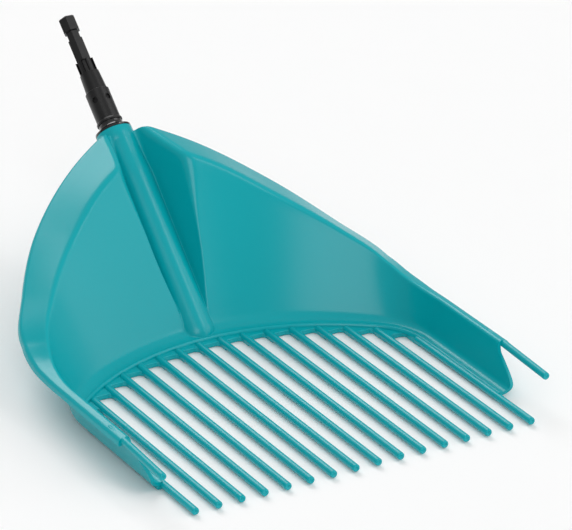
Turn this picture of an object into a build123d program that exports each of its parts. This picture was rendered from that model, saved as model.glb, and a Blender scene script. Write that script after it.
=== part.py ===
"""Shovel rake head: a moulded scoop with sixteen floor tines and a plug-in handle spigot.

Millimetres, +Z up, +Y towards the handle, +X across the head. The origin is under the middle
of the whole head, on the surface that it stands on.
"""

import os
from math import asin, atan2, cos, radians, sin, sqrt, tan

from build123d import *

# Overall layout
TIP_Y = -252.55  # line of the floor tine tips
PITCH = 21.0  # floor tine spacing
TINE_COUNT = 16
TINE_RADIUS = 3.15
TINE_HEIGHT = 3.75  # tine centre above the ground
TINE_CHAMFER = 0.7

# Foot of the scoop wall, seen from above: a wide arc, a corner arc and a straight side
FOOT_RADIUS = 225.0
FOOT_CENTRE_Y = TIP_Y + 31.5
CORNER_RADIUS = 55.0
SIDE_X = 162.0
WALL = 3.0

# Ledge under the foot, which carries the tine roots
LEDGE_TOP = 4.6
LEDGE_DEPTH = 20.0
LEDGE_HEEL = 1.0
ROOT_SETBACK = 4.5  # tine root end in front of the foot
SLOT_SETBACK = 9.5  # slot end in front of the foot
SLOT_WIDTH = 14.4
SLOT_CORNER = 3.0
SLOT_REACH = 40.0

# Scoop wall sections, each square to the foot: the turn of the foot in degrees, then the run
# outward and the height of the wall corner, and of the rim corner
FLOOR_TOP = 6.9
WALL_SECTIONS = [
    (0, 100, 146, 148, 152),
    (10, 86, 124, 130, 125),
    (20, 68, 96, 108, 94),
    (30, 50.5, 72, 80, 65.5),
    (39, 33.2, 51.5, 55.3, 46),
    (50, 25, 44.5, 42, 40.5),
    (65, 17, 41, 29, 38.5),
    (90, 12.5, 40.2, 21.5, 38.5),
]
CORNER_SECTION = 4  # the section where the corner arc starts
SIDE_SECTION = 7  # the section where the straight side starts
FRONT_Y = TIP_Y + 40.0  # front end of the side walls before the nose is cut
LIP_DROP = 5.5
LIP_FLARE = 1.2
BEND_RADIUS = 4.0  # between the wall and the rim flange
RIM_RADIUS = 5.0
FLOOR_START = -3.0  # inner edge of the wall sheet, from the foot line
FOOT_BEND = 4.0  # from the foot line to the corner that the hollow foot rounds off
FOOT_BEND_GAIN = 0.06  # growth of that distance with the run of the wall

# Side wall nose, in side view: below the side tine, forward to a chin, and down
NOSE_OUTLINE = [
    (TIP_Y + 76.0, 60.0),
    (TIP_Y + 76.0, 31.0),
    (TIP_Y + 46.0, 10.5),
    (TIP_Y + 54.0, -5.0),
    (TIP_Y + 20.0, -5.0),
    (TIP_Y + 20.0, 60.0),
]
NOSE_FILLETS = [3.0, 5.0, 0.0, 0.0]

# Side tines, and the boss inside the rim that each one grows from
SIDE_TINE_X = 179.3
SIDE_TINE_TIP = (TIP_Y + 13.4, 33.2)
SIDE_TINE_ROOT = (TIP_Y + 76.0, 36.2)
BOSS_RADIUS = 3.3
BOSS_LENGTH = 26.0

# Spine: an inclined tube on the centre line, in a V-shaped channel
SPINE_TILT = radians(41.28)
MOUTH_Y = TIP_Y + 416.2
MOUTH_Z = 132.7
SPINE_LENGTH = 195.0  # from the mouth to the centre of the domed lower end
SPINE_CORE_RADIUS = 8.0
SPINE_CORE_DEPTH = 165.0
SPINE_RADIUS_LOW = 15.0
SPINE_RADIUS_HIGH = 17.2
SOCKET_RADIUS = 16.2
SOCKET_LENGTH = 24.0
CHANNEL_HALF_WIDTH = 12.1
CHANNEL_LEAN = radians(23.2)
CHANNEL_LIFT = 110.0
CHANNEL_OVERRUN = 20.0  # how far the channel cut runs on past the domed end
CHANNEL_CUT_END = 60.0  # and past the mouth
CREASE_LOW = (TIP_Y + 266.0, 6.0)  # side view of the channel wall's upper edge
CREASE_TOP = (TIP_Y + 345.0, 129.5)
RIM_BACK = (TIP_Y + 392.0, 139.0)
CHANNEL_WALL_TOP = -8.0  # ends of the channel walls, as distances up the spine axis
CHANNEL_WALL_LOW = -190.0

# Spigot pieces, as distances up the spine axis from the socket mouth
TUBE_RADIUS = 10.4
TUBE_BORE = 9.2
TUBE_DEPTH = 95.0  # length of neck tube inside the socket
SWAGE_RADIUS = 7.8
SWAGE_BORE = 6.6
SWAGE_RISE = 3.0
SWAGE_TOP = 34.0
COLLAR_RADIUS = 16.0
COLLAR_EDGE = 1.6
COLLAR_WAIST = (3.4, 12.6)
COLLAR_TOP = 6.4
COLLAR_NECK_RADIUS = 10.9
BARREL_BASE = 8.8
BARREL_TOP = 40.1
BARREL_RADIUS = 10.6
LIP_RADIUS = 11.5
LIP_LENGTH = 1.4
TAPER_TOP = 57.8
TAPER_RADIUS_LOW = 9.5
TAPER_RADIUS_HIGH = 8.6
STEP_CHAMFER = 0.6
CROWN_TOP = 70.4
CROWN_RADIUS = 7.95
CROWN_SLOTS = 6
CROWN_SLOT_WIDTH = 4.4
CROWN_SLOT_DEPTH = 3.0
CROWN_SLOT_ROUND = 1.2
GROOVE_BASE = 91.1
GROOVE_TOP = 99.5
SPIGOT_TOP = 113.4
HEAD_FLATS = 13.6
HEAD_CHAMFER = 1.2
SHAFT_FLATS = 12.4
GROOVE_FLATS = 10.4
STEM_RADIUS = 4.6
STEM_BASE = 24.0
RIVET_HEIGHT = 30.0
RIVET_RADIUS = 2.0
RIVET_RECESS = 1.4
RIVET_RECESS_RADIUS = 2.6
RIVET_ANGLES = (73, 142)  # round the barrel, seen down the axis, from the right-hand side
SCREW_HEIGHT = -52.0
SCREW_RADIUS = 2.2
SCREW_REACH = 1.0  # how far the screw's end stands inside the tube
SCREW_HEAD_RADIUS = 4.4
SCREW_HEAD_HEIGHT = 2.6
SCREW_DRIVE_WIDTH = 1.0
SCREW_DRIVE_DEPTH = 1.4
SCREW_BOSS_RADIUS = 6.5
SCREW_BOSS_LIFT = 20.0


def along(distance, lift=0.0):
    """Point on the centre plane, a distance up the spine axis and a lift square to it."""
    return (
        0,
        MOUTH_Y + distance * cos(SPINE_TILT) - lift * sin(SPINE_TILT),
        MOUTH_Z + distance * sin(SPINE_TILT) + lift * cos(SPINE_TILT),
    )


def across(distance):
    """Plane square to the spine axis; local X is across the head, local Y is the lift."""
    return Plane(origin=along(distance), x_dir=(-1, 0, 0), z_dir=(0, cos(SPINE_TILT), sin(SPINE_TILT)))


def radial_plane(distance, angle):
    """Plane through the spine axis whose normal points out at an angle round it, in degrees."""
    level = across(distance)
    outward = -level.x_dir * cos(radians(angle)) + level.y_dir * sin(radians(angle))
    return Plane(origin=level.origin, x_dir=level.z_dir, z_dir=outward)


# Centre plane; local X runs up the spine axis and local Y is the lift above it
SPINE = Plane(origin=along(0), x_dir=(0, cos(SPINE_TILT), sin(SPINE_TILT)), z_dir=(1, 0, 0))
SPINE_AXIS = Axis(origin=along(0), direction=(0, cos(SPINE_TILT), sin(SPINE_TILT)))

# Centre of the corner arc, and the turn of the foot line where the wide arc meets it
corner_x = SIDE_X - CORNER_RADIUS
corner_y = FOOT_CENTRE_Y + sqrt((FOOT_RADIUS - CORNER_RADIUS) ** 2 - corner_x**2)
corner_turn = atan2(corner_x, corner_y - FOOT_CENTRE_Y)


def foot_point(turn):
    """Point of the foot line where it has turned by an angle from straight across."""
    if turn < corner_turn:
        return (FOOT_RADIUS * sin(turn), FOOT_CENTRE_Y + FOOT_RADIUS * cos(turn))
    return (corner_x + CORNER_RADIUS * sin(turn), corner_y + CORNER_RADIUS * cos(turn))


def foot_turn(x):
    """Turn of the foot line at a distance across."""
    if abs(x) < FOOT_RADIUS * sin(corner_turn):
        return asin(abs(x) / FOOT_RADIUS)
    return asin((abs(x) - corner_x) / CORNER_RADIUS)


def foot_y(x, setback):
    """Y at a distance across of a line that runs a setback in front of the foot line."""
    turn = foot_turn(x)
    return foot_point(turn)[1] - setback / cos(turn)


def foot_plane(turn):
    """Upright plane square to the foot line; local X is outward and local Y is up."""
    out = (sin(turn), cos(turn), 0)
    return Plane(origin=(*foot_point(turn), 0), x_dir=out, z_dir=(cos(turn), -sin(turn), 0))


def wall_section(plane, wall_run, wall_height, rim_run, rim_height):
    """Thin closed section: floor edge, hollow foot, wall, rolled rim and turned-down lip."""
    foot = Vector(FOOT_BEND + FOOT_BEND_GAIN * wall_run, FLOOR_TOP)
    wall = Vector(wall_run, wall_height)
    rim = Vector(rim_run, rim_height)
    rise = (wall - foot).get_angle(Vector(1, 0))
    foot_fillet = foot.X / tan(radians(rise) / 2)
    with BuildSketch(plane) as section:
        with BuildLine():
            FilletPolyline(
                (FLOOR_START, FLOOR_TOP),
                foot,
                wall,
                rim,
                rim + Vector(LIP_FLARE, -LIP_DROP),
                radius=[foot_fillet, BEND_RADIUS, RIM_RADIUS],
            )
            offset(amount=WALL, side=Side.RIGHT)
        make_face()
    return section.sketch


# Floor tines: round rods with a domed root and a chamfered tip
outer_tine_x = (TINE_COUNT - 1) / 2 * PITCH
tines = {}
for number in range(TINE_COUNT):
    tine_x = number * PITCH - outer_tine_x
    root_y = foot_y(tine_x, ROOT_SETBACK)
    with BuildPart() as tine:
        with BuildSketch(Plane.XY.offset(TINE_HEIGHT)):
            with BuildLine():
                Polyline(
                    (tine_x, root_y),
                    (tine_x, TIP_Y),
                    (tine_x + TINE_RADIUS - TINE_CHAMFER, TIP_Y),
                    (tine_x + TINE_RADIUS, TIP_Y + TINE_CHAMFER),
                    (tine_x + TINE_RADIUS, root_y - TINE_RADIUS),
                )
                RadiusArc((tine_x + TINE_RADIUS, root_y - TINE_RADIUS), (tine_x, root_y), -TINE_RADIUS)
            make_face()
        revolve(axis=Axis((tine_x, 0, TINE_HEIGHT), (0, 1, 0)))
    tines[f"tine_{number + 1:02d}"] = tine.part

# Side tines: short rods that carry the rim forward, from a root at the nose
side_reach = Vector(0, SIDE_TINE_TIP[0] - SIDE_TINE_ROOT[0], SIDE_TINE_TIP[1] - SIDE_TINE_ROOT[1])
side_tines = {}
for name, side_x in (("side_tine_left", -SIDE_TINE_X), ("side_tine_right", SIDE_TINE_X)):
    with BuildPart() as side_tine:
        with BuildSketch(Plane(origin=(side_x, *SIDE_TINE_ROOT), x_dir=(1, 0, 0), z_dir=side_reach)):
            Circle(TINE_RADIUS)
        extrude(amount=side_reach.length)
        chamfer(side_tine.edges().filter_by(GeomType.CIRCLE).sort_by(Axis.Y)[0], TINE_CHAMFER)
    side_tines[name] = side_tine.part

# Channel cut: the V-shaped space above the spine axis, between the two leaning walls
channel_half_top = CHANNEL_HALF_WIDTH + CHANNEL_LIFT * tan(CHANNEL_LEAN)
with BuildPart() as channel_cut:
    with BuildSketch(across(-SPINE_LENGTH - CHANNEL_OVERRUN)):
        with BuildLine():
            Polyline(
                (-CHANNEL_HALF_WIDTH, 0),
                (CHANNEL_HALF_WIDTH, 0),
                (channel_half_top, CHANNEL_LIFT),
                (-channel_half_top, CHANNEL_LIFT),
                close=True,
            )
        make_face()
    extrude(amount=SPINE_LENGTH + CHANNEL_OVERRUN + CHANNEL_CUT_END)
    split(bisect_by=Plane.XZ.offset(-CREASE_LOW[0]), keep=Keep.BOTTOM)

# Channel walls: two leaning plates, trimmed in side view by the panels and the rim
with BuildPart() as channel_walls:
    with BuildSketch(across(-SPINE_LENGTH)):
        with BuildLine():
            Polyline(
                (CHANNEL_HALF_WIDTH, 0),
                (CHANNEL_HALF_WIDTH + WALL, 0),
                (channel_half_top + WALL, CHANNEL_LIFT),
                (channel_half_top, CHANNEL_LIFT),
                close=True,
            )
        make_face()
        mirror(about=Plane.YZ)
    extrude(amount=SPINE_LENGTH)
    with BuildSketch(Plane.YZ):
        with BuildLine():
            wall_top = along(CHANNEL_WALL_TOP)[1:]
            wall_low = along(CHANNEL_WALL_LOW)[1:]
            Polyline(CREASE_LOW, CREASE_TOP, RIM_BACK, wall_top, wall_low, close=True)
        make_face()
    extrude(amount=SIDE_X, both=True, mode=Mode.INTERSECT)

# Half scoop: the rolled wall, the ledge with its slots, and the nose under the side tine
wall_sections = [wall_section(foot_plane(radians(turn)), *corners) for turn, *corners in WALL_SECTIONS]
front_plane = Plane(origin=(SIDE_X, FRONT_Y, 0), x_dir=(1, 0, 0), z_dir=(0, -1, 0))
front_section = wall_section(front_plane, *WALL_SECTIONS[SIDE_SECTION][1:])
with BuildPart() as half_scoop:
    loft(wall_sections[: CORNER_SECTION + 1])
    loft(wall_sections[CORNER_SECTION : SIDE_SECTION + 1])
    loft([wall_sections[SIDE_SECTION], front_section])
    with BuildSketch() as ledge_plan:
        with BuildLine():
            inner_radius = FOOT_RADIUS - LEDGE_DEPTH
            inner_start = (0, FOOT_CENTRE_Y + inner_radius)
            inner_end = (outer_tine_x, FOOT_CENTRE_Y + sqrt(inner_radius**2 - outer_tine_x**2))
            heel_radius = FOOT_RADIUS + LEDGE_HEEL
            heel_turn = (heel_radius * sin(corner_turn), FOOT_CENTRE_Y + heel_radius * cos(corner_turn))
            RadiusArc(inner_start, inner_end, inner_radius)
            Polyline(
                inner_end,
                (outer_tine_x, FRONT_Y),
                (SIDE_X + LEDGE_HEEL, FRONT_Y),
                (SIDE_X + LEDGE_HEEL, corner_y),
            )
            RadiusArc((SIDE_X + LEDGE_HEEL, corner_y), heel_turn, -(CORNER_RADIUS + LEDGE_HEEL))
            RadiusArc(heel_turn, (0, FOOT_CENTRE_Y + heel_radius), -heel_radius)
            Line((0, FOOT_CENTRE_Y + heel_radius), inner_start)
        make_face()
        for slot in range(TINE_COUNT // 2):
            slot_end = foot_y(slot * PITCH, SLOT_SETBACK)
            with Locations((slot * PITCH, slot_end - SLOT_REACH / 2)):
                RectangleRounded(SLOT_WIDTH, SLOT_REACH, SLOT_CORNER, mode=Mode.SUBTRACT)
    extrude(amount=LEDGE_TOP)
    with BuildSketch(Plane.YZ):
        with BuildLine():
            FilletPolyline(*NOSE_OUTLINE, radius=NOSE_FILLETS)
            Line(NOSE_OUTLINE[-1], NOSE_OUTLINE[0])
        make_face()
    extrude(amount=2 * SIDE_X, mode=Mode.SUBTRACT)
    with BuildSketch(Plane(origin=(SIDE_TINE_X, *SIDE_TINE_ROOT), x_dir=(1, 0, 0), z_dir=-side_reach)):
        Circle(BOSS_RADIUS)
    extrude(amount=BOSS_LENGTH)
    add(channel_cut.part, mode=Mode.SUBTRACT)

# Spine: tapered tube with a domed lower end, a socket head and a stepped bore
with BuildPart() as spine_outside:
    with BuildSketch(SPINE):
        with BuildLine():
            Polyline(
                (-SPINE_LENGTH - SPINE_RADIUS_LOW, 0),
                (0, 0),
                (0, SOCKET_RADIUS),
                (-SOCKET_LENGTH, SOCKET_RADIUS),
                (-2 * SOCKET_LENGTH, SPINE_RADIUS_HIGH),
                (-SPINE_LENGTH, SPINE_RADIUS_LOW),
            )
            dome_edge = (-SPINE_LENGTH, SPINE_RADIUS_LOW)
            dome_end = (-SPINE_LENGTH - SPINE_RADIUS_LOW, 0)
            RadiusArc(dome_edge, dome_end, -SPINE_RADIUS_LOW)
        make_face()
    revolve(axis=SPINE_AXIS)
    split(bisect_by=Plane.XY)

# Sleeve rivets: two headless rivets at the bottom of round recesses in the barrel
with BuildPart() as rivet_shanks:
    for angle in RIVET_ANGLES:
        with BuildSketch(radial_plane(RIVET_HEIGHT, angle).offset(SWAGE_BORE)):
            Circle(RIVET_RADIUS)
        extrude(amount=BARREL_RADIUS - RIVET_RECESS - SWAGE_BORE)
with BuildPart() as rivet_recesses:
    for angle in RIVET_ANGLES:
        with BuildSketch(radial_plane(RIVET_HEIGHT, angle).offset(BARREL_RADIUS - RIVET_RECESS)):
            Circle(RIVET_RECESS_RADIUS)
        extrude(amount=BARREL_RADIUS)

# Socket screw: domed screw under the socket, through a boss and the wall of the neck tube
screw_plane = radial_plane(SCREW_HEIGHT, 270)
with BuildPart() as screw_shank:
    with BuildSketch(screw_plane.offset(TUBE_BORE - SCREW_REACH)):
        Circle(SCREW_RADIUS)
    extrude(amount=SCREW_BOSS_LIFT - TUBE_BORE + SCREW_REACH)
with BuildPart() as socket_screw:
    add(screw_shank.part)
    with BuildSketch(screw_plane.offset(SCREW_BOSS_LIFT)):
        Circle(SCREW_HEAD_RADIUS)
    extrude(amount=SCREW_HEAD_HEIGHT)
    head_face = socket_screw.faces().sort_by(Axis(screw_plane.origin, screw_plane.z_dir))[-1]
    fillet(head_face.edges(), SCREW_HEAD_HEIGHT / 2)
    with BuildSketch(screw_plane.offset(SCREW_BOSS_LIFT + SCREW_HEAD_HEIGHT)):
        Rectangle(SCREW_HEAD_RADIUS, SCREW_DRIVE_WIDTH)
        Rectangle(SCREW_DRIVE_WIDTH, SCREW_HEAD_RADIUS)
    extrude(amount=-SCREW_DRIVE_DEPTH, mode=Mode.SUBTRACT)

with BuildPart() as scoop_shell:
    add(half_scoop.part)
    mirror(about=Plane.YZ)
    add(channel_walls.part)
    add(spine_outside.part)
    with BuildSketch(screw_plane.offset(TUBE_RADIUS)):
        Circle(SCREW_BOSS_RADIUS)
    extrude(amount=SCREW_BOSS_LIFT - TUBE_RADIUS)
    with BuildSketch(across(0)):
        Circle(TUBE_RADIUS)
    extrude(amount=-TUBE_DEPTH, mode=Mode.SUBTRACT)
    with BuildSketch(across(0)):
        Circle(SPINE_CORE_RADIUS)
    extrude(amount=-SPINE_CORE_DEPTH, mode=Mode.SUBTRACT)
    for rod in (*tines.values(), *side_tines.values(), screw_shank.part):
        add(rod, mode=Mode.SUBTRACT)

# Neck tube: drawn tube in the socket, swaged down where it enters the spigot sleeve
with BuildPart() as neck_tube:
    with BuildSketch(SPINE):
        with BuildLine():
            Polyline(
                (-TUBE_DEPTH, TUBE_BORE),
                (-TUBE_DEPTH, TUBE_RADIUS),
                (BARREL_BASE, TUBE_RADIUS),
                (BARREL_BASE + SWAGE_RISE, SWAGE_RADIUS),
                (SWAGE_TOP, SWAGE_RADIUS),
                (SWAGE_TOP, SWAGE_BORE),
                (BARREL_BASE + SWAGE_RISE, SWAGE_BORE),
                (BARREL_BASE, TUBE_BORE),
                close=True,
            )
        make_face()
    revolve(axis=SPINE_AXIS)
    add(screw_shank.part, mode=Mode.SUBTRACT)
    add(rivet_shanks.part, mode=Mode.SUBTRACT)

# Seat collar: flared ring round the neck tube, resting on the socket mouth
with BuildPart() as seat_collar:
    with BuildSketch(SPINE):
        with BuildLine():
            Polyline(
                (COLLAR_TOP, COLLAR_NECK_RADIUS),
                (COLLAR_TOP, TUBE_RADIUS),
                (0, TUBE_RADIUS),
                (0, COLLAR_RADIUS),
                (COLLAR_EDGE, COLLAR_RADIUS),
            )
            ThreePointArc((COLLAR_EDGE, COLLAR_RADIUS), COLLAR_WAIST, (COLLAR_TOP, COLLAR_NECK_RADIUS))
        make_face()
    revolve(axis=SPINE_AXIS)

# Spigot sleeve: barrel, taper and slotted crown, bored for the tube and for the core's stem
with BuildPart() as spigot_sleeve:
    with BuildSketch(SPINE):
        with BuildLine():
            Polyline(
                (BARREL_BASE, TUBE_RADIUS),
                (BARREL_BASE, LIP_RADIUS),
                (BARREL_BASE + LIP_LENGTH, LIP_RADIUS),
                (BARREL_BASE + 2 * LIP_LENGTH, BARREL_RADIUS),
                (BARREL_TOP - STEP_CHAMFER, BARREL_RADIUS),
                (BARREL_TOP, BARREL_RADIUS - STEP_CHAMFER),
                (BARREL_TOP, TAPER_RADIUS_LOW),
                (TAPER_TOP, TAPER_RADIUS_HIGH),
                (TAPER_TOP + STEP_CHAMFER, CROWN_RADIUS),
                (CROWN_TOP, CROWN_RADIUS),
                (CROWN_TOP, STEM_RADIUS),
                (SWAGE_TOP, STEM_RADIUS),
                (SWAGE_TOP, SWAGE_RADIUS),
                (BARREL_BASE + SWAGE_RISE, SWAGE_RADIUS),
                close=True,
            )
        make_face()
    revolve(axis=SPINE_AXIS)
    with BuildSketch(across(TAPER_TOP + STEP_CHAMFER)):
        with PolarLocations(CROWN_RADIUS, CROWN_SLOTS):
            RectangleRounded(2 * CROWN_SLOT_DEPTH, CROWN_SLOT_WIDTH, CROWN_SLOT_ROUND)
    extrude(amount=CROWN_TOP - TAPER_TOP, mode=Mode.SUBTRACT)
    add(rivet_recesses.part, mode=Mode.SUBTRACT)
    add(rivet_shanks.part, mode=Mode.SUBTRACT)

# Spigot core: hexagonal rod with a latch groove and a bevelled head, on a round stem
with BuildPart() as spigot_core:
    with BuildSketch(across(STEM_BASE)):
        Circle(STEM_RADIUS)
    extrude(amount=CROWN_TOP - STEM_BASE)
    with BuildSketch(across(CROWN_TOP)):
        RegularPolygon(SHAFT_FLATS / 2, 6, major_radius=False)
    extrude(amount=GROOVE_BASE - CROWN_TOP)
    with BuildSketch(across(GROOVE_BASE)):
        RegularPolygon(GROOVE_FLATS / 2, 6, major_radius=False)
    extrude(amount=GROOVE_TOP - GROOVE_BASE)
    with BuildSketch(across(GROOVE_TOP)):
        RegularPolygon(HEAD_FLATS / 2, 6, major_radius=False)
    extrude(amount=SPIGOT_TOP - GROOVE_TOP)
    head_end = spigot_core.faces().sort_by(SPINE_AXIS)[-1]
    chamfer(head_end.edges(), HEAD_CHAMFER)

pieces = {
    "scoop_shell": scoop_shell.part,
    **tines,
    **side_tines,
    "neck_tube": neck_tube.part,
    "seat_collar": seat_collar.part,
    "spigot_sleeve": spigot_sleeve.part,
    "spigot_core": spigot_core.part,
    "sleeve_rivets": rivet_shanks.part,
    "socket_screw": socket_screw.part,
}
os.makedirs("parts", exist_ok=True)
for name, piece in pieces.items():
    piece.label = name
    export_step(piece, f"parts/{name}.step")
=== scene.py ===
"""Looks of the shovel rake head: moulded teal scoop, black nylon spigot, pale studio floor."""

from math import atan2, cos, pi, radians, sin, sqrt, tan

import bmesh
import bpy
import numpy as np
from mathutils import Matrix, Vector


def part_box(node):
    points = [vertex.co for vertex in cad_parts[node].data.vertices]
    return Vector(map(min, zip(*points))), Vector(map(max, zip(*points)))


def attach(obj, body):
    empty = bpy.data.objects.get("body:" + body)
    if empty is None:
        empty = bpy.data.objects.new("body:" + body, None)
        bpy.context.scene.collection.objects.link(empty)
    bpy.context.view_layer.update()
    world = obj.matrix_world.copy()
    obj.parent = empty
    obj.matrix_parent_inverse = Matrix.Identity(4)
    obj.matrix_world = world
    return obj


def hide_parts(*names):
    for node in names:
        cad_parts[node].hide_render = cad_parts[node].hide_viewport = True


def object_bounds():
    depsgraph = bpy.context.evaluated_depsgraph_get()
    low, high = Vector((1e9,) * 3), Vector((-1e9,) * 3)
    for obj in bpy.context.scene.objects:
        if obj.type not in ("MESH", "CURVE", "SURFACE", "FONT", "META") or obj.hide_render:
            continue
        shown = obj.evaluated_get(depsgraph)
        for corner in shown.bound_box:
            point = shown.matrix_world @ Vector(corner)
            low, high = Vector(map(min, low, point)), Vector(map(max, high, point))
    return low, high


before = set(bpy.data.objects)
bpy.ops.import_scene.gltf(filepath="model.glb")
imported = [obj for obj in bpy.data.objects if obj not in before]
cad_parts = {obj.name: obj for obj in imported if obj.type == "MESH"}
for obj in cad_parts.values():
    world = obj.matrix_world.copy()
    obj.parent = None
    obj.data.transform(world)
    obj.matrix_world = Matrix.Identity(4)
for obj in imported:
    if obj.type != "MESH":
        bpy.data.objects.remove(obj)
cad_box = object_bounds()
cad_low, cad_high = cad_box
centre = (cad_low + cad_high) / 2

# Materials
MOTTLE_SCALE = 18.0
GRAIN_DEPTH = 0.0002
COAT_ROUGHNESS = 0.08


def node_material(name, colour, dark, roughness, metallic=0.0, grain=900.0, bump=0.1, coat=0.0, ior=1.45):
    """Moulded or lacquered finish: slow colour drift, fine grain in the roughness and the bump."""
    material = bpy.data.materials.new(name)
    material.use_nodes = True
    nodes, links = material.node_tree.nodes, material.node_tree.links
    shader = nodes["Principled BSDF"]
    where = nodes.new("ShaderNodeTexCoord")

    drift = nodes.new("ShaderNodeTexNoise")
    drift.inputs["Scale"].default_value = MOTTLE_SCALE
    drift.inputs["Detail"].default_value = 3.0
    links.new(where.outputs["Object"], drift.inputs["Vector"])
    paint = nodes.new("ShaderNodeMix")
    paint.data_type = "RGBA"
    paint.inputs["A"].default_value = (*dark, 1)
    paint.inputs["B"].default_value = (*colour, 1)
    links.new(drift.outputs["Fac"], paint.inputs["Factor"])
    links.new(paint.outputs["Result"], shader.inputs["Base Color"])

    fine = nodes.new("ShaderNodeTexNoise")
    fine.inputs["Scale"].default_value = grain
    fine.inputs["Detail"].default_value = 4.0
    links.new(where.outputs["Object"], fine.inputs["Vector"])
    sheen = nodes.new("ShaderNodeMapRange")
    sheen.inputs["To Min"].default_value = roughness[0]
    sheen.inputs["To Max"].default_value = roughness[1]
    links.new(fine.outputs["Fac"], sheen.inputs["Value"])
    links.new(sheen.outputs["Result"], shader.inputs["Roughness"])
    relief = nodes.new("ShaderNodeBump")
    relief.inputs["Strength"].default_value = bump
    relief.inputs["Distance"].default_value = GRAIN_DEPTH
    links.new(fine.outputs["Fac"], relief.inputs["Height"])
    links.new(relief.outputs["Normal"], shader.inputs["Normal"])

    shader.inputs["Metallic"].default_value = metallic
    shader.inputs["IOR"].default_value = ior
    shader.inputs["Coat Weight"].default_value = coat
    shader.inputs["Coat Roughness"].default_value = COAT_ROUGHNESS
    return material


teal = node_material(
    "teal_plastic", (0.0, 0.385, 0.435), (0.0, 0.37, 0.415), (0.22, 0.28), bump=0.02, ior=1.36
)
nylon = node_material(
    "black_nylon", (0.007, 0.007, 0.0075), (0.003, 0.003, 0.0035), (0.3, 0.42), grain=1400.0, bump=0.18
)
lacquer = node_material(
    "gloss_black", (0.008, 0.008, 0.009), (0.004, 0.004, 0.005), (0.12, 0.2), bump=0.03, coat=0.6
)
dark_metal = node_material(
    "dark_metal", (0.03, 0.03, 0.032), (0.012, 0.012, 0.013), (0.35, 0.5), metallic=0.8
)
zinc = node_material("zinc_plate", (0.55, 0.55, 0.56), (0.42, 0.42, 0.44), (0.25, 0.4), metallic=1.0)

NODE_FINISH = {
    "neck_tube": lacquer,
    "seat_collar": lacquer,
    "spigot_sleeve": nylon,
    "spigot_core": nylon,
    "sleeve_rivets": dark_metal,
    "socket_screw": zinc,
}
for name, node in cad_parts.items():
    for place in node.material_slots:
        place.material = NODE_FINISH.get(name, teal)

# Geometry below is worked out in millimetres in the row frame, and scaled as meshes are made
MM = 0.001
BODY = "root"
GROUND_CUT = 0.2  # level where a piece that runs into the ground is cut off flat
TINE_COUNT = 16
TIP_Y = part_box("tine_08")[0].y / MM
PITCH = (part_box("tine_02")[0].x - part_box("tine_01")[0].x) / MM


def piece(name, points, faces, replaced, sharp=50.0, closed=True, grounded=False):
    """Teal mesh piece from points in millimetres, smooth shaded, which rides on the body."""
    mesh = bpy.data.meshes.new(name)
    mesh.from_pydata([tuple(MM * c for c in p) for p in points], [], faces)
    mesh.materials.append(teal)
    obj = bpy.data.objects.new(name, mesh)
    bpy.context.scene.collection.objects.link(obj)
    tools = bmesh.new()
    tools.from_mesh(mesh)
    bmesh.ops.remove_doubles(tools, verts=tools.verts, dist=1e-6)
    if closed:
        bmesh.ops.recalc_face_normals(tools, faces=tools.faces)
    if grounded:
        whole = tools.verts[:] + tools.edges[:] + tools.faces[:]
        level = (0, 0, GROUND_CUT * MM)
        cut = bmesh.ops.bisect_plane(tools, geom=whole, plane_co=level, plane_no=(0, 0, 1), clear_inner=True)
        rim = [item for item in cut["geom_cut"] if isinstance(item, bmesh.types.BMEdge)]
        bmesh.ops.holes_fill(tools, edges=rim)
    tools.to_mesh(mesh)
    tools.free()
    mesh.shade_smooth()
    mesh.set_sharp_from_angle(angle=radians(sharp))
    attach(obj, BODY)
    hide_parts(replaced)
    return obj


def bevelled(obj):
    """Rounds the sharp edges of a piece."""
    bevel = obj.modifiers.new("edges", "BEVEL")
    bevel.width = 0.7 * MM
    bevel.segments = 3
    bevel.limit_method = "ANGLE"
    bevel.angle_limit = radians(50)
    bevel.harden_normals = True


def lathe(profile, origin, axis, segments=48):
    """Points and faces of a profile of (distance, radius) turned round an axis."""
    axis = Vector(axis).normalized()
    side = axis.orthogonal().normalized()
    up = axis.cross(side)
    points, faces = [], []
    for distance, radius in profile:
        for step in range(segments):
            angle = 2 * pi * step / segments
            spot = Vector(origin) + axis * distance + (side * cos(angle) + up * sin(angle)) * radius
            points.append(tuple(spot))
    for ring in range(len(profile) - 1):
        for step in range(segments):
            after = (step + 1) % segments
            low, high = ring * segments, (ring + 1) * segments
            faces.append((low + step, low + after, high + after, high + step))
    return points, faces


def smooth_step(value, low, high):
    share = min(1.0, max(0.0, (value - low) / (high - low)))
    return share * share * (3 - 2 * share)


# Scoop wall: sections square to the foot line. Each has the turn of the foot in degrees, the run
# outward and height of the wall corner, and the run and height of the rim corner
FOOT_RADIUS = 225.0
FOOT_CENTRE_Y = TIP_Y + 31.5
CORNER_RADIUS = 55.0
SIDE_X = 162.0
WALL = 3.0
FLOOR_TOP = 6.9
FLOOR_START = -3.0
FOOT_BEND = 4.0  # from the foot line to the corner that the hollow foot rounds off
FOOT_BEND_GAIN = 0.06
LIP_DROP = 5.5
LIP_FLARE = 1.2
RIM_RADIUS = 5.0
BEND_RUNS = [0, 60, 110, 160]  # lengths along the foot line, for the radius under the rim flange
BEND_RADII = [11.0, 11.0, 7.0, 3.4]
SECTIONS = [
    (0, 100, 146, 148, 152),
    (10, 86, 124, 130, 125),
    (20, 68, 96, 108, 94),
    (30, 50.5, 72, 80, 65.5),
    (39, 33.2, 51.5, 55.3, 46),
    (50, 25, 44.5, 42, 40.5),
    (65, 17, 41, 29, 38.5),
    (90, 12.5, 40.2, 21.5, 38.5),
]
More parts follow.
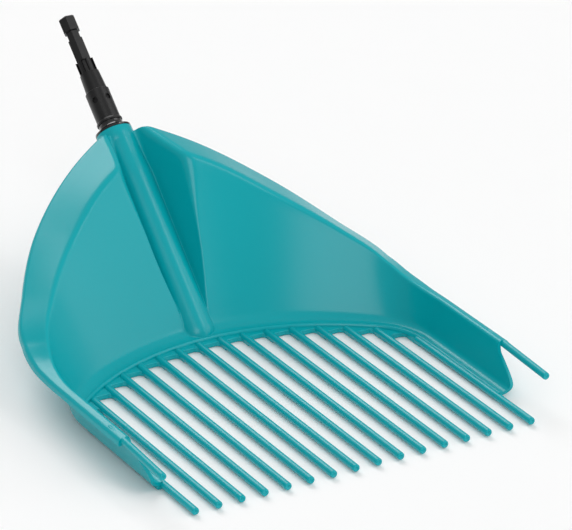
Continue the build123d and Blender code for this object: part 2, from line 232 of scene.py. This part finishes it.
# Front end of the side wall, from the tine tips, at heights up the wall
NOSE_HEIGHTS = [-5.0, 4.0, 7.5, 10.0, 12.5, 15.5, 20.5, 28.2, 30.5, 33.0, 36.0]
NOSE_FRONTS = [54.5, 52.0, 50.0, 48.2, 47.8, 49.4, 56.0, 68.3, 72.5, 75.0, 76.0]
# Bead on the wall's lower edge: run outward and height
BEAD = [(-4.3, 4.3), (-4.15, 5.3), (-3.75, 6.3), (-3.15, 7.0)]
BEAD += [(-2.45, 7.3), (-1.75, 7.15), (-1.2, 6.95), (-0.6, 6.9)]
ARC_STEPS = 9
STRAIGHT_STEPS = (16, 12, 4)

corner_x = SIDE_X - CORNER_RADIUS
corner_y = FOOT_CENTRE_Y + sqrt((FOOT_RADIUS - CORNER_RADIUS) ** 2 - corner_x**2)
corner_turn = atan2(corner_x, corner_y - FOOT_CENTRE_Y)
corner_run = FOOT_RADIUS * corner_turn
side_run = corner_run + CORNER_RADIUS * (pi / 2 - corner_turn)


def foot_at(run):
    """Point of the foot line at a length from the middle, and its outward direction."""
    if run < corner_run:
        turn = run / FOOT_RADIUS
        out = np.array((sin(turn), cos(turn)))
        return np.array((0.0, FOOT_CENTRE_Y)) + FOOT_RADIUS * out, out
    if run < side_run:
        turn = corner_turn + (run - corner_run) / CORNER_RADIUS
        out = np.array((sin(turn), cos(turn)))
        return np.array((corner_x, corner_y)) + CORNER_RADIUS * out, out
    return np.array((SIDE_X, corner_y - (run - side_run))), np.array((1.0, 0.0))


def run_of_turn(degrees):
    """Length along the foot line where it has turned by an angle."""
    turn = radians(degrees)
    if turn < corner_turn:
        return FOOT_RADIUS * turn
    return corner_run + CORNER_RADIUS * (turn - corner_turn)


knots = np.array([run_of_turn(s[0]) for s in SECTIONS])
values = np.array([s[1:] for s in SECTIONS], float)
slopes = np.gradient(values, knots, axis=0)
slopes[-1] = 0


def section_values(run):
    """Corner positions of the wall section at a length along the foot line."""
    if run >= knots[-1]:
        return values[-1]
    i = int(np.searchsorted(knots, run, side="right")) - 1
    h = knots[i + 1] - knots[i]
    t = (run - knots[i]) / h
    return (
        (2 * t**3 - 3 * t**2 + 1) * values[i]
        + (t**3 - 2 * t**2 + t) * h * slopes[i]
        + (3 * t**2 - 2 * t**3) * values[i + 1]
        + (t**3 - t**2) * h * slopes[i + 1]
    )


def profile(run):
    """Rows of the visible face of a section, as outward run and height."""
    wall_run, wall_height, rim_run, rim_height = section_values(run)
    corners = [
        np.array((FLOOR_START, FLOOR_TOP)),
        np.array((FOOT_BEND + FOOT_BEND_GAIN * wall_run, FLOOR_TOP)),
        np.array((wall_run, wall_height)),
        np.array((rim_run, rim_height)),
        np.array((rim_run + LIP_FLARE, rim_height - LIP_DROP)),
    ]
    rise = atan2(*(corners[2] - corners[1])[::-1])
    bend_radius = float(np.interp(run, BEND_RUNS, BEND_RADII))
    radii = [corners[1][0] / tan(rise / 2), bend_radius, RIM_RADIUS]
    arcs = []
    for before, corner, after, radius in zip(corners, corners[1:], corners[2:], radii):
        enter = (corner - before) / np.linalg.norm(corner - before)
        leave = (after - corner) / np.linalg.norm(after - corner)
        bend = np.arccos(np.clip(enter @ leave, -1, 1))
        turn_side = np.sign(enter[0] * leave[1] - enter[1] * leave[0])
        start = corner - enter * radius * tan(bend / 2)
        middle = start + turn_side * radius * np.array((-enter[1], enter[0]))
        spoke = start - middle
        arc = []
        for angle in turn_side * np.linspace(0, bend, ARC_STEPS):
            across = (-spoke[1] * sin(angle), spoke[0] * sin(angle))
            arc.append(middle + spoke * cos(angle) + np.array(across))
        arcs.append(arc)
    rows = [np.array(p) for p in BEAD]
    starts = [*[arc[0] for arc in arcs[1:]], corners[-1]]
    for arc, start, steps in zip(arcs, starts, STRAIGHT_STEPS):
        rows.extend(arc)
        for step in range(1, steps):
            rows.append(arc[-1] + (start - arc[-1]) * step / steps)
    rows.append(corners[-1])
    return np.array(rows)


# Spine: an inclined tube on the centre line
SPINE_TILT = radians(41.28)
MOUTH = np.array((0.0, TIP_Y + 416.2, 132.7))
SPINE_DIR = np.array((0.0, cos(SPINE_TILT), sin(SPINE_TILT)))
SPINE_UP = np.array((0.0, -sin(SPINE_TILT), cos(SPINE_TILT)))
ACROSS = np.array((1.0, 0.0, 0.0))
SPINE_LENGTH = 195.0  # from the mouth to the centre of the domed lower end
SPINE_RADIUS_LOW = 15.0
SPINE_RADIUS_HIGH = 17.2
SOCKET_RADIUS = 16.2
SOCKET_LENGTH = 24.0
CHANNEL_HALF_WIDTH = 12.1
CHANNEL_SLOPE = tan(radians(23.2))
CHANNEL_PINCH = 3.4  # narrowing of the channel at its lower end and beside the socket
LOW_PINCH_RUN = 70.0
SOCKET_PINCH = (-70.0, -20.0)


def spine_radius(station):
    """Outside radius of the spine tube at a distance up the axis from the mouth."""
    if station < -SPINE_LENGTH:
        return sqrt(max(0.0, SPINE_RADIUS_LOW**2 - (station + SPINE_LENGTH) ** 2))
    if station < -2 * SOCKET_LENGTH:
        share = (station + SPINE_LENGTH) / (SPINE_LENGTH - 2 * SOCKET_LENGTH)
        return SPINE_RADIUS_LOW + (SPINE_RADIUS_HIGH - SPINE_RADIUS_LOW) * share
    ease = smooth_step(station, -2 * SOCKET_LENGTH, -SOCKET_LENGTH)
    return SPINE_RADIUS_HIGH + (SOCKET_RADIUS - SPINE_RADIUS_HIGH) * ease


def channel_half_width(station, lift):
    """Distance of the channel wall from the centre plane; the channel narrows at both ends."""
    low_pinch = 1 - smooth_step(station, -SPINE_LENGTH, LOW_PINCH_RUN - SPINE_LENGTH)
    pinch = CHANNEL_PINCH * (low_pinch + smooth_step(station, *SOCKET_PINCH))
    return CHANNEL_HALF_WIDTH - pinch + CHANNEL_SLOPE * max(lift, 0.0)


def spine_frame(point):
    """Distance up the spine axis and lift above it."""
    offset = point - MOUTH
    return offset @ SPINE_DIR, offset @ SPINE_UP


def wall_point(run, row):
    """Point of a row of the wall at a length along the foot line."""
    spot, out = foot_at(run)
    r, z = profile(run)[row]
    return np.array((spot[0] + out[0] * r, spot[1] + out[1] * r, z))


def in_channel(point):
    """True inside the channel or the spine tube."""
    station, lift = spine_frame(point)
    radius = spine_radius(station) if station > -SPINE_LENGTH - SPINE_RADIUS_LOW else 0.0
    if point[0] ** 2 + lift**2 < radius**2:
        return True
    return station > -SPINE_LENGTH and lift > 0 and point[0] < channel_half_width(station, lift)


def crease_run(row):
    """Length along the foot line where a row of the wall reaches the channel."""
    if not in_channel(wall_point(0.0, row)):
        return 0.0
    low, high = 0.0, 2.0
    while in_channel(wall_point(high, row)):
        low, high = high, high + 2.0
    for _ in range(24):
        middle = (low + high) / 2
        if in_channel(wall_point(middle, row)):
            low = middle
        else:
            high = middle
    return high


# Columns of the sheet over each part of a row, from the side wall to the centre plane
WALL_COLUMNS = 120
BEND_COLUMNS = 10
CHANNEL_COLUMNS = 8
VALLEY_COLUMNS = 8
TUBE_COLUMNS = 12
CHANNEL_STEP = 0.1
VALLEY_MARGIN = 0.01
TUBE_SAMPLES = 60


def row_points(row):
    """Right-hand half of a row, from the side wall's nose to the centre plane, and its two corners."""
    height = profile(side_run)[row][1]
    nose_y = TIP_Y + float(np.interp(height, NOSE_HEIGHTS, NOSE_FRONTS))
    front = side_run + corner_y - nose_y
    crease = crease_run(row)
    line = [wall_point(run, row) for run in np.linspace(front, crease, int(front - crease))]
    corner_at = len(line) - 1
    valley_at = corner_at
    if crease > 0:
        station, lift = spine_frame(line[-1])
        level = MOUTH + SPINE_DIR * station
        radius = spine_radius(station)
        x, y = line[-1][0], lift
        while x * x + y * y > radius * radius + VALLEY_MARGIN and y > -radius:
            y -= CHANNEL_STEP
            x = channel_half_width(station, y)
            line.append(level + SPINE_UP * y + ACROSS * x)
        valley_at = len(line) - 1
        for angle in np.linspace(atan2(y, x), pi / 2, TUBE_SAMPLES)[1:]:
            line.append(level + radius * (SPINE_UP * sin(angle) + ACROSS * cos(angle)))
    line = np.array(line)
    line[-1][0] = 0.0
    return line, corner_at, valley_at


ROUND_REACH = 1.6  # reach of a rounded corner's own columns, in sizes of the rounding
ROUND_FADE = 2.5
LEAST_WINDOW = 0.3
END_WINDOW = 0.05


def evened(line, corner_at, valley_at, crease_size, valley_size):
    """Row sampled with fixed column counts, its two corners rounded by a moving average."""
    mirrored = (line * np.array((-1, 1, 1)))[::-1][1:]
    whole = np.vstack((line, mirrored))
    steps = np.linalg.norm(np.diff(whole, axis=0), axis=1)
    length = np.concatenate(([0], np.cumsum(steps)))
    middle = length[len(line) - 1]
    swept = np.vstack((np.zeros(3), np.cumsum((whole[1:] + whole[:-1]) / 2 * steps[:, None], axis=0)))
    corner_s, valley_s = length[corner_at], length[valley_at]

    wall_gap = valley_s - corner_s
    stops = [
        0,
        corner_s - ROUND_REACH * crease_size,
        corner_s + min(ROUND_REACH * crease_size, wall_gap / 2),
        valley_s - min(ROUND_REACH * valley_size, wall_gap / 2),
        min(valley_s + ROUND_REACH * valley_size, (valley_s + middle) / 2),
        middle,
    ]
    counts = (WALL_COLUMNS, BEND_COLUMNS, CHANNEL_COLUMNS, VALLEY_COLUMNS, TUBE_COLUMNS)
    stations = []
    for start, end, count in zip(stops, stops[1:], counts):
        stations.extend(np.linspace(start, end, count + 1)[:-1])
    stations.append(middle)
    points = []
    for s in stations:
        near_crease = np.exp(-(((s - corner_s) / (ROUND_FADE * crease_size + 1)) ** 2))
        near_valley = np.exp(-(((s - valley_s) / (ROUND_FADE * valley_size + 1)) ** 2))
        window = max(crease_size * near_crease, valley_size * near_valley, LEAST_WINDOW)
        window = min(window, s)
        if window < END_WINDOW:
            points.append([np.interp(s, length, whole[:, axis]) for axis in range(3)])
            continue
        low = [np.interp(s - window, length, swept[:, axis]) for axis in range(3)]
        high = [np.interp(s + window, length, swept[:, axis]) for axis in range(3)]
        points.append((np.array(high) - np.array(low)) / (2 * window))
    points = np.array(points)
    points[-1][0] = 0.0
    return points


rows_total = len(profile(0.0))
rim_row = len(BEAD) + sum(STRAIGHT_STEPS[:2]) + 2 * ARC_STEPS  # rows from here on are the rim's lip
grid = []
for row in range(rows_total):
    line, corner_at, valley_at = row_points(row)
    height = line[corner_at][2]
    crease_size = 1.6 + 7.5 * smooth_step(height, 75, 138)
    valley_size = 1.2 + 0.8 * smooth_step(height, 10, 60)
    grid.append(evened(line, corner_at, valley_at, crease_size, valley_size))
half = np.array(grid)
left = half[:, ::-1] * np.array((-1, 1, 1))
sheet = np.concatenate((half, left[:, 1:]), axis=1)
across_total = sheet.shape[1]
channel_start = WALL_COLUMNS + BEND_COLUMNS // 2
faces = []
for row in range(rows_total - 1):
    for column in range(across_total - 1):
        in_middle = channel_start <= column < across_total - 1 - channel_start
        if row >= rim_row and in_middle:
            continue
        at = row * across_total + column
        faces.append((at, at + across_total, at + across_total + 1, at + 1))
scoop_sheet = piece("scoop_sheet", sheet.reshape(-1, 3), faces, "scoop_shell", sharp=60, closed=False)
thick = scoop_sheet.modifiers.new("thickness", "SOLIDIFY")
thick.thickness = WALL * MM
thick.offset = -1.0
bevelled(scoop_sheet)

# Spine tube under the sheet: domed nose, tapered tube, socket head and bore
UNDER = 0.15  # tube surface under the sheet
BORE_RADIUS = 10.45
BORE_DEPTH = 60.0
spine_profile = [(-SPINE_LENGTH - SPINE_RADIUS_LOW + UNDER, 0.02)]
for step in range(1, 13):
    angle = pi / 2 * step / 12
    reach = SPINE_RADIUS_LOW - UNDER
    spine_profile.append((-SPINE_LENGTH - reach * cos(angle), reach * sin(angle)))
for station in np.linspace(-SPINE_LENGTH + 10, -2 * SOCKET_LENGTH, 8):
    spine_profile.append((station, spine_radius(station) - UNDER))
for station in np.linspace(-2 * SOCKET_LENGTH + 2, -SOCKET_LENGTH, 12):
    spine_profile.append((station, spine_radius(station) - UNDER))
spine_profile += [(-12.5, SOCKET_RADIUS - UNDER), (-11.8, SOCKET_RADIUS), (-1.2, SOCKET_RADIUS)]
spine_profile += [(-0.35, SOCKET_RADIUS - 0.35), (0.0, SOCKET_RADIUS - 1.2), (0.0, BORE_RADIUS + 0.8)]
spine_profile += [(-0.8, BORE_RADIUS), (-BORE_DEPTH, BORE_RADIUS), (-BORE_DEPTH, 0.02)]
points, faces = lathe(spine_profile, MOUTH, SPINE_DIR, 72)
piece("spine_tube", points, faces, "scoop_shell", sharp=40, grounded=True)

# Screw boss under the socket
SCREW_STATION = -52.0
boss_profile = [(13.0, 11.5), (15.2, 9.2), (16.2, 8.0), (17.2, 7.1), (18.4, 6.7), (19.2, 6.5)]
boss_profile += [(19.8, 6.2), (20.0, 5.6), (20.0, 0.02)]
points, faces = lathe(boss_profile, MOUTH + SPINE_DIR * SCREW_STATION, -SPINE_UP, 40)
piece("screw_boss", points, faces, "scoop_shell")

# Ledge under the foot, with a slot in front between each pair of tines
LEDGE_TOP = 4.4
LEDGE_DEPTH = 20.0
LEDGE_HEEL = 1.0
SLOT_SETBACK = 9.5
SLOT_WIDTH = 16.4
SLOT_CORNER = 3.6
LEDGE_FRONT_Y = TIP_Y + 50.5
OUTER_TINE_X = (TINE_COUNT - 1) / 2 * PITCH


def foot_y(x, setback):
    """Y of a line in front of the foot line, at a distance across."""
    if x < FOOT_RADIUS * sin(corner_turn):
        turn = np.arcsin(x / FOOT_RADIUS)
        return FOOT_CENTRE_Y + FOOT_RADIUS * cos(turn) - setback / cos(turn)
    turn = np.arcsin((x - corner_x) / CORNER_RADIUS)
    return corner_y + CORNER_RADIUS * cos(turn) - setback / cos(turn)


def ledge_edge(x):
    """Y of the ledge's inner edge at a distance across."""
    return FOOT_CENTRE_Y + sqrt((FOOT_RADIUS - LEDGE_DEPTH) ** 2 - x * x)


front = []
for slot in range(TINE_COUNT // 2):
    middle = slot * PITCH
    end = foot_y(middle, SLOT_SETBACK)
    left_x, right_x = middle - SLOT_WIDTH / 2, middle + SLOT_WIDTH / 2
    curve = []
    for step in range(9):
        angle = pi / 2 * step / 8
        curve.append((left_x + SLOT_CORNER * (1 - cos(angle)), end - SLOT_CORNER * (1 - sin(angle))))
    mirror_curve = [(2 * middle - x, y) for x, y in reversed(curve)]
    if slot == 0:
        front += [(0.0, end)] + mirror_curve + [(right_x, ledge_edge(right_x))]
    else:
        front += [(left_x, ledge_edge(left_x))] + curve + mirror_curve + [(right_x, ledge_edge(right_x))]
front = [p for p in front if p[0] < OUTER_TINE_X]
front += [(OUTER_TINE_X, ledge_edge(OUTER_TINE_X)), (OUTER_TINE_X, LEDGE_FRONT_Y)]
heel = [(SIDE_X + LEDGE_HEEL, LEDGE_FRONT_Y)]
for run in np.linspace(side_run, 0, 80):
    spot, out = foot_at(run)
    heel.append((spot[0] + LEDGE_HEEL * out[0], spot[1] + LEDGE_HEEL * out[1]))
outline = front + heel
outline[-1] = (0.0, outline[-1][1])
full = outline + [(-x, y) for x, y in reversed(outline[1:-1])]
count = len(full)
points = [(x, y, 0.0) for x, y in full] + [(x, y, LEDGE_TOP) for x, y in full]
faces = [tuple(range(count))[::-1], tuple(range(count, 2 * count))]
faces += [(i, (i + 1) % count, (i + 1) % count + count, i + count) for i in range(count)]
bevelled(piece("ledge", points, faces, "scoop_shell", sharp=35))

# Floor tines: rods with a domed root and a dimpled tip
TINE_RADIUS = 3.15
TINE_HEIGHT = 3.75
TIP_PROFILE = [(1.0, 0.02), (0.95, 0.5), (0.75, 1.1), (0.3, 1.55), (0.05, 1.8), (0.0, 2.1)]
TIP_PROFILE += [(0.12, 2.55), (0.45, 2.9), (1.0, 3.1), (1.7, TINE_RADIUS)]
for number in range(TINE_COUNT):
    node = f"tine_{number + 1:02d}"
    low, high = (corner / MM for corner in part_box(node))
    length = high.y - low.y
    rod = list(TIP_PROFILE)
    rod += [(station, TINE_RADIUS) for station in np.linspace(6, length - TINE_RADIUS, 24)]
    for step in range(1, 9):
        angle = pi / 2 * step / 8
        rod.append((length - TINE_RADIUS * (1 - sin(angle)), max(0.02, TINE_RADIUS * cos(angle))))
    points, faces = lathe(rod, ((low.x + high.x) / 2, low.y, TINE_HEIGHT), (0, 1, 0), 32)
    piece(f"{node}_rod", points, faces, node, sharp=70)

# Side tines and their bosses inside the rim
SIDE_TINE_ROOT = (76.0, 36.2)
SIDE_TINE_TIP = (13.4, 33.2)
for node in ("side_tine_left", "side_tine_right"):
    low, high = (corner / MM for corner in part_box(node))
    root = Vector(((low.x + high.x) / 2, TIP_Y + SIDE_TINE_ROOT[0], SIDE_TINE_ROOT[1]))
    tip = Vector((root.x, TIP_Y + SIDE_TINE_TIP[0], SIDE_TINE_TIP[1]))
    length = (root - tip).length
    rod = list(TIP_PROFILE) + [(station, TINE_RADIUS) for station in np.linspace(6, length - 3.0, 12)]
    rod.append((length + 1.0, TINE_RADIUS))
    points, faces = lathe(rod, tip, root - tip, 32)
    piece(f"{node}_rod", points, faces, node, sharp=70)
    boss = [(0.0, 0.02), (0.0, 2.2), (0.5, 2.5), (20.0, 2.5), (23.0, 2.3), (25.0, 1.6), (26.0, 0.02)]
    points, faces = lathe(boss, root, root - tip, 32)
    piece(node.replace("tine", "boss"), points, faces, "scoop_shell", sharp=70)

# Studio: floor, soft lights, camera at the photograph's angle
FLOOR_HALF = 6.0
FLOOR_SINK = 0.0004
LIGHT_REACH = 2.0
WORLD_LIGHT = 0.36

pale = node_material("pale_floor", (0.98, 0.98, 0.98), (0.97, 0.97, 0.97), (0.8, 0.9), bump=0.0)
floor_mesh = bpy.data.meshes.new("floor")
corners = [(x * FLOOR_HALF, y * FLOOR_HALF, 0) for x, y in ((-1, -1), (1, -1), (1, 1), (-1, 1))]
floor_mesh.from_pydata(corners, [], [(0, 1, 2, 3)])
floor_mesh.materials.append(pale)
floor = bpy.data.objects.new("floor", floor_mesh)
floor.location.z = cad_low.z - FLOOR_SINK
bpy.context.scene.collection.objects.link(floor)


def towards(azimuth, elevation):
    """Unit vector from the object to a viewer or light round it, in degrees."""
    a, e = radians(azimuth), radians(elevation)
    return Vector((sin(a) * cos(e), -cos(a) * cos(e), sin(e)))


def soft_light(name, azimuth, elevation, spread, strength):
    """Wide soft light from a direction round the object."""
    data = bpy.data.lights.new(name, "SUN")
    data.angle = radians(spread)
    data.energy = strength
    light = bpy.data.objects.new(name, data)
    back = towards(azimuth, elevation)
    light.location = centre + back * LIGHT_REACH
    light.rotation_euler = (-back).to_track_quat("-Z", "Y").to_euler()
    bpy.context.scene.collection.objects.link(light)


soft_light("key", 55, 26, 60, 0.96)
soft_light("back", 172, 42, 34, 1.1)
soft_light("glint", 56, 55, 9, 0.1)
soft_light("top", 0, 88, 80, 0.24)
soft_light("front", -34, 38, 36, 0.85)

world = bpy.data.worlds.new("studio")
world.use_nodes = True
background = world.node_tree.nodes["Background"]
background.inputs["Color"].default_value = (1, 1, 1, 1)
background.inputs["Strength"].default_value = WORLD_LIGHT
bpy.context.scene.world = world
bpy.context.scene.view_settings.view_transform = "Standard"

CAMERA_AZIMUTH = -31.92
CAMERA_ELEVATION = 25.23
CAMERA_ROLL = 1.5
CAMERA_DISTANCE = 3.3256
CAMERA_AIM = Vector((0.0486, -0.0436, -0.0241))  # from the middle of the object
CAMERA_LENS = 252.25

back = towards(CAMERA_AZIMUTH, CAMERA_ELEVATION)
camera = bpy.data.objects.new("camera", bpy.data.cameras.new("camera"))
camera.data.lens = CAMERA_LENS
camera.data.sensor_width = 36.0
camera.data.clip_end = 30.0
turn = (-back).to_track_quat("-Z", "Y").to_matrix() @ Matrix.Rotation(radians(CAMERA_ROLL), 3, "Z")
camera.matrix_world = Matrix.Translation(centre + CAMERA_AIM + back * CAMERA_DISTANCE) @ turn.to_4x4()
bpy.context.scene.collection.objects.link(camera)
bpy.context.scene.camera = camera
